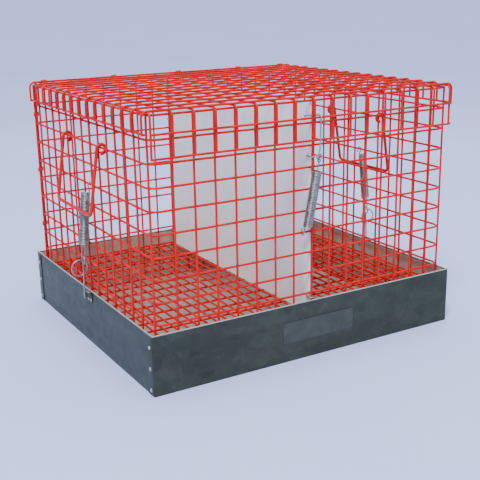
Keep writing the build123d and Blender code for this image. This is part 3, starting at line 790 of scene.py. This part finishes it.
def seam_clip_bands():
    """Bands round the wall's two end uprights."""
    first, second = [corner_spot(-1, 1, along, WALL_BEND + WELD) for along in SEAM_ENDS]
    outline = slot_outline(first, second, CLIP_RADIUS)
    places = [Matrix.Translation((0, 0, z * MM)) for z in SEAM_Z]
    return strips("seam_clip_bands", [outline] * len(places), 5.0, CLIP_SHEET, places)


piece(hinge_clips(), RED, "cage", "coated_clip", "lid_hinge_clips")
piece(floor_clip_bands(), RED, "cage", "coated_clip", "floor_clips")
piece(seam_clip_bands(), RED, "cage", "coated_clip", "wall_seam_clips")
paint("divider_panel", DIVIDER)
paint("divider_clips", ZINC_WIRE)


# ---------------------------------------------------------------- handles
def bail(side):
    """A bail bent from one wire, with both ends curled over a level wire of the end wall."""
    down = Vector((side * sin(HANDLE_LEAN), 0, -cos(HANDLE_LEAN)))
    out = Vector((side * cos(HANDLE_LEAN), 0, sin(HANDLE_LEAN)))

    def eye(y):
        centre = Vector((side * HALF_WIDTH, y, ROWS[10])) + down * 1.6
        turns = [pi * 1.5 * k / 20 for k in range(21)]
        return [centre + (out * cos(a) - down * sin(a)) * HANDLE_CURL for a in turns], centre

    near, near_centre = eye(HANDLE_LEG_YS[0])
    far, far_centre = eye(HANDLE_LEG_YS[1])
    low = near_centre + out * HANDLE_CURL + down * HANDLE_LENGTH
    far_low = far_centre + out * HANDLE_CURL + down * HANDLE_LENGTH
    middle = rounded([near[0], low, far_low, far[0]], 6.0)
    return near[::-1] + middle[1:-1] + far


for side, word in ((-1, "left"), (1, "right")):
    bar = wires(f"{word}_bail", [divided(bail(side), 0.0, 12)], HANDLE_WIRE, resolution=5)
    piece(bar, RED, f"{word}_handle", "coated_wire", f"{word}_handle")


# ---------------------------------------------------------------- springs and latches
def helix(centre, top, bottom, start_angle, turns, steps=20):
    """A coil's points about an upright axis, from top to bottom."""
    count = int(turns * steps)
    out = []
    for k in range(count + 1):
        angle = start_angle + tau * k / steps
        z = top + (bottom - top) * k / count
        x = centre[0] + COIL_RADIUS * cos(angle)
        y = centre[1] + COIL_RADIUS * sin(angle)
        out.append(Vector((x, y, z)))
    return out


def drawn_in(last, centre, angle, radius, rise, steps=12, turn=pi):
    """The coil's last half turn, drawn in towards its axis."""
    out = []
    for k in range(1, steps + 1):
        share = k / steps
        reach = COIL_RADIUS + (radius - COIL_RADIUS) * share
        a = angle + turn * share
        out.append(Vector((centre[0] + reach * cos(a), centre[1] + reach * sin(a), last + rise * share)))
    return out


SPRING_X = 5.7
SPRING_TOP = -8.2
SPRING_FOOT = SPRING_TOP - COIL_LENGTH
SHANK_END = SPRING_FOOT - 15.1
LATCH_PLACE = Matrix.Translation((HALF_WIDTH, 0, ROWS[8])) @ Matrix.Rotation(radians(-5.9), 4, "Y")
SHANK_FOOT = LATCH_PLACE @ Vector((SPRING_X, 0, SHANK_END))
EYE_RADIUS = 4.6
EYE_Z = SHANK_FOOT.z - EYE_RADIUS + SPRING_WIRE / 2 + HOOK_WIRE / 2 + 0.35
RING_RADIUS = 10.1
RING_LEAN = radians(38.0)
RING_Y = 2.1
RING_HANG = RING_RADIUS - 2.5  # from the eye's wire to the ring's centre
ROD_FOOT_X = TRAY_X + 7.6
HOOK_TIP_X = ROD_FOOT_X - 3.8
HOOK_FOOT_Z = 63.9


def at_end(points, side):
    """Points drawn for the right end, placed at one end of the cage."""
    return [Vector((side * p.x, p.y + LATCH_Y, p.z)) for p in points]


def tray_spring():
    """One wire: hook over the mesh, coil, and a long loop at the foot."""
    hook = rounded(
        [
            (-HOOK_REACH, 0, -4.5),
            (-HOOK_REACH, 0, HOOK_REACH),
            (HOOK_REACH, 0, HOOK_REACH),
            (HOOK_REACH, 0, -2.5),
            (SPRING_X - COIL_RADIUS, 0, -6.6),
            (SPRING_X - COIL_RADIUS, 0.3, SPRING_TOP),
        ],
        [2.6, 2.6, 2.0, 1.0],
    )
    coil = helix((SPRING_X, 0), SPRING_TOP - 0.9, SPRING_FOOT + 1.6, pi, COIL_TURNS - 1)
    half = 2.0  # half the long loop's width
    tail = drawn_in(SPRING_FOOT + 1.6, (SPRING_X, 0), pi, half, -2.4)
    loop = rounded(
        [
            (SPRING_X + half, 0, SPRING_FOOT - 1.6),
            (SPRING_X + half, 0, SHANK_END),
            (SPRING_X - half, 0, SHANK_END),
            (SPRING_X - half, 0, SPRING_FOOT - 0.4),
        ],
        1.95,
    )
    return [LATCH_PLACE @ p for p in hook + coil[1:] + tail + loop]


def tray_rod():
    """One wire: an eye that holds the spring and the ring, the rod, and the hook at its foot."""
    centre = Vector((SHANK_FOOT.x, 0, EYE_Z))
    turns = [0.12 + (tau - 0.12) * k / 28 for k in range(29)]
    eye = [centre + Vector((0, EYE_RADIUS * sin(a), -EYE_RADIUS * cos(a))) for a in turns]
    rod = rounded(
        [
            eye[-1],
            (ROD_FOOT_X, 0, HOOK_FOOT_Z + 14),
            (ROD_FOOT_X, 0, HOOK_FOOT_Z),
            (HOOK_TIP_X, 0, HOOK_FOOT_Z),
            (HOOK_TIP_X, 0, HOOK_FOOT_Z + 5.7),
        ],
        [6.0, 1.85, 1.85],
    )
    return eye + rod[1:]


def pull_ring():
    """The ring in the rod's eye, standing outwards."""
    pivot_z = EYE_Z - (EYE_RADIUS**2 - RING_Y**2) ** 0.5
    x = SHANK_FOOT.x + RING_HANG * sin(RING_LEAN)
    centre = Vector((x, RING_Y, pivot_z - RING_HANG * cos(RING_LEAN)))
    turns = [tau * k / 48 for k in range(48)]
    return [centre + Vector((RING_RADIUS * cos(a), 0, RING_RADIUS * sin(a))) for a in turns]


for side, word in ((-1, "left"), (1, "right")):
    coil = as_mesh(wires(f"{word}_tray_spring", [at_end(tray_spring(), side)], SPRING_WIRE, resolution=2))
    coil.data.materials.clear()
    coil.data.materials.append(SPRING_STEEL)
    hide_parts(f"{word}_latch_spring")
    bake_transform(coil)
    rod = wires(f"{word}_tray_hook", [at_end(tray_rod(), side)], HOOK_WIRE)
    piece(rod, ZINC_WIRE, f"{word}_latch_rod", "zinc_wire", f"{word}_latch_hook")
    ring = wires(f"{word}_ring", [at_end(pull_ring(), side)], HOOK_WIRE, closed=True)
    piece(ring, ZINC_WIRE, f"{word}_ring", "zinc_wire", f"{word}_pull_ring")


LID_COIL_Y = -7.5
LID_COIL_FOOT = 7.8
LID_COIL_HEAD = LID_COIL_FOOT + COIL_LENGTH
LID_LOOP_Z = LID_COIL_HEAD + 11.5
LID_LOOP_RADIUS = 2.8
LID_EYE_RADIUS = 3.2
LID_LATCH_PLACE = (
    Matrix.Translation((-11.5, -HALF_DEPTH, ROWS[6]))
    @ Matrix.Rotation(radians(1.75), 4, "X")
    @ Matrix.Rotation(radians(10.1), 4, "Y")
)


def lid_spring():
    """One wire: hook round the mesh, coil, neck and a loop at the head."""
    near = LID_COIL_Y + COIL_RADIUS
    hook = rounded(
        [
            (0, HOOK_REACH, 4.5),
            (0, HOOK_REACH, -HOOK_REACH),
            (0, -HOOK_REACH, -HOOK_REACH),
            (0, -HOOK_REACH, 3.0),
            (0.2, near, 7.0),
            (0.3, near, LID_COIL_FOOT + 0.9),
        ],
        [2.6, 2.6, 2.0, 1.0],
    )
    centre = (0, LID_COIL_Y)
    coil = helix(centre, LID_COIL_FOOT + 0.9, LID_COIL_HEAD - 1.6, pi / 2, COIL_TURNS - 1)
    tail = drawn_in(LID_COIL_HEAD - 1.6, centre, pi / 2, 0.4, 2.6, turn=pi * 1.2)
    loop_centre = Vector((0, LID_COIL_Y, LID_LOOP_Z))
    loop = []
    for k in range(25):
        a = 0.25 + (tau - 0.35) * k / 24
        spot = Vector((0.5 - 1.0 * k / 24, LID_LOOP_RADIUS * sin(a), -LID_LOOP_RADIUS * cos(a)))
        loop.append(loop_centre + spot)
    neck = [
        Vector((0.3, LID_COIL_Y, LID_COIL_HEAD + 3.5)),
        Vector((0.45, LID_COIL_Y + 0.1, LID_LOOP_Z - LID_LOOP_RADIUS - 1.0)),
    ]
    return [LID_LATCH_PLACE @ p for p in hook + coil[1:] + tail + neck + loop]


def lid_rod():
    """One wire: an eye in the spring's loop, the rod, and the bar tucked over the lid's row."""
    loop = LID_LATCH_PLACE @ Vector((0, LID_COIL_Y, LID_LOOP_Z))
    eye_centre = Vector((loop.x, loop.y, loop.z + 0.4 + LID_EYE_RADIUS))
    outside_y = LID_FRONT_Y - WELD - HALF_BAR - HOOK_WIRE / 2 - 0.4
    pocket_y = (LID_FRONT_Y + HALF_BAR - HALF_DEPTH - WELD - HALF_BAR) / 2
    bar_z = LID_ROWS[0] + HALF_BAR + HOOK_WIRE / 2 + 0.5
    top_x = loop.x + 1.8
    eye = [
        eye_centre + Vector((LID_EYE_RADIUS * sin(a), 0, LID_EYE_RADIUS * cos(a)))
        for a in [0.2 + (tau - 0.2) * k / 24 for k in range(25)]
    ]
    rod = rounded(
        [
            eye[-1],
            (loop.x + 0.5, outside_y, LID_ROWS[1] - 11.5),
            (top_x, outside_y, bar_z),
            (top_x - 1.5, pocket_y, bar_z),
            (-13.0, pocket_y, bar_z),
        ],
        [3.0, 2.2, 2.2],
    )
    return eye + rod[1:]


coil = as_mesh(wires("lid_latch_coil", [lid_spring()], SPRING_WIRE, resolution=2))
coil.data.materials.clear()
coil.data.materials.append(SPRING_STEEL)
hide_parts("lid_latch_spring")
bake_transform(coil)
bar = wires("lid_latch_bar", [lid_rod()], HOOK_WIRE)
piece(bar, ZINC_WIRE, "lid_latch_rod", "zinc_wire", "lid_latch_hook")


# ---------------------------------------------------------------- camera, floor and light
def camera():
    """The photograph's viewpoint."""
    yaw, pitch, roll = radians(30.53), radians(-16.2), radians(-0.98)
    ahead = Vector((sin(yaw) * cos(pitch), cos(yaw) * cos(pitch), sin(pitch)))
    level = Vector((cos(yaw), -sin(yaw), 0))
    upward = level.cross(ahead)
    right = level * cos(roll) + upward * sin(roll)
    up = upward * cos(roll) - level * sin(roll)
    data = bpy.data.cameras.new("camera")
    data.lens = 65.54
    data.sensor_width = 36.0
    data.clip_start = 0.01
    data.clip_end = 50
    obj = link(bpy.data.objects.new("camera", data))
    turn = Matrix((right, up, -ahead)).transposed().to_4x4()
    obj.matrix_world = Matrix.Translation((-0.57236, -0.98894, 0.43123)) @ turn
    bpy.context.scene.camera = obj


def area_light(name, place, target, size, power, colour=(1, 1, 1)):
    """A round soft light, in metres and watts, turned towards its target."""
    data = bpy.data.lights.new(name, "AREA")
    data.shape = "DISK"
    data.size = size
    data.energy = power
    data.color = colour
    obj = link(bpy.data.objects.new(name, data))
    obj.location = place
    obj.rotation_mode = "QUATERNION"
    obj.rotation_quaternion = (Vector(target) - Vector(place)).to_track_quat("-Z", "Y")


def floor():
    """Plain pale floor, wide enough to fill the view."""
    built = bmesh.new()
    bmesh.ops.create_grid(built, x_segments=2, y_segments=2, size=60000)
    ground = mesh_object("studio_floor", built)
    t = Tree("studio_floor")
    tone = t.ramp(t.noise(2.0, 2), [(0.3, (0.47, 0.57, 0.95)), (0.7, (0.50, 0.60, 0.97))])
    ground.data.materials.append(t.set(Base_Color=tone, Roughness=0.75))


def broad_light(direction, strength, spread):
    """Even light over the whole floor, soft at the edges of its shadows."""
    data = bpy.data.lights.new("window", "SUN")
    data.energy = strength
    data.angle = radians(spread)
    obj = link(bpy.data.objects.new("window", data))
    obj.rotation_mode = "QUATERNION"
    obj.rotation_quaternion = Vector(direction).to_track_quat("-Z", "Y")


camera()
floor()
broad_light((0.52, 0.44, -0.95), 2.7, 14.0)
area_light("key", (-0.9, -1.3, 1.9), (0, 0, 0.15), 0.7, 26, (1.0, 0.98, 0.95))
area_light("fill", (1.9, -1.2, 1.1), (0, 0, 0.15), 1.4, 9, (0.93, 0.96, 1.0))
area_light("overhead", (0.2, 0.5, 2.4), (0, 0, 0.2), 1.6, 24)
world = bpy.data.worlds.new("studio")
bpy.context.scene.world = world
world.use_nodes = True
world.node_tree.nodes["Background"].inputs["Color"].default_value = (0.80, 0.86, 1.0, 1)
world.node_tree.nodes["Background"].inputs["Strength"].default_value = 0.82
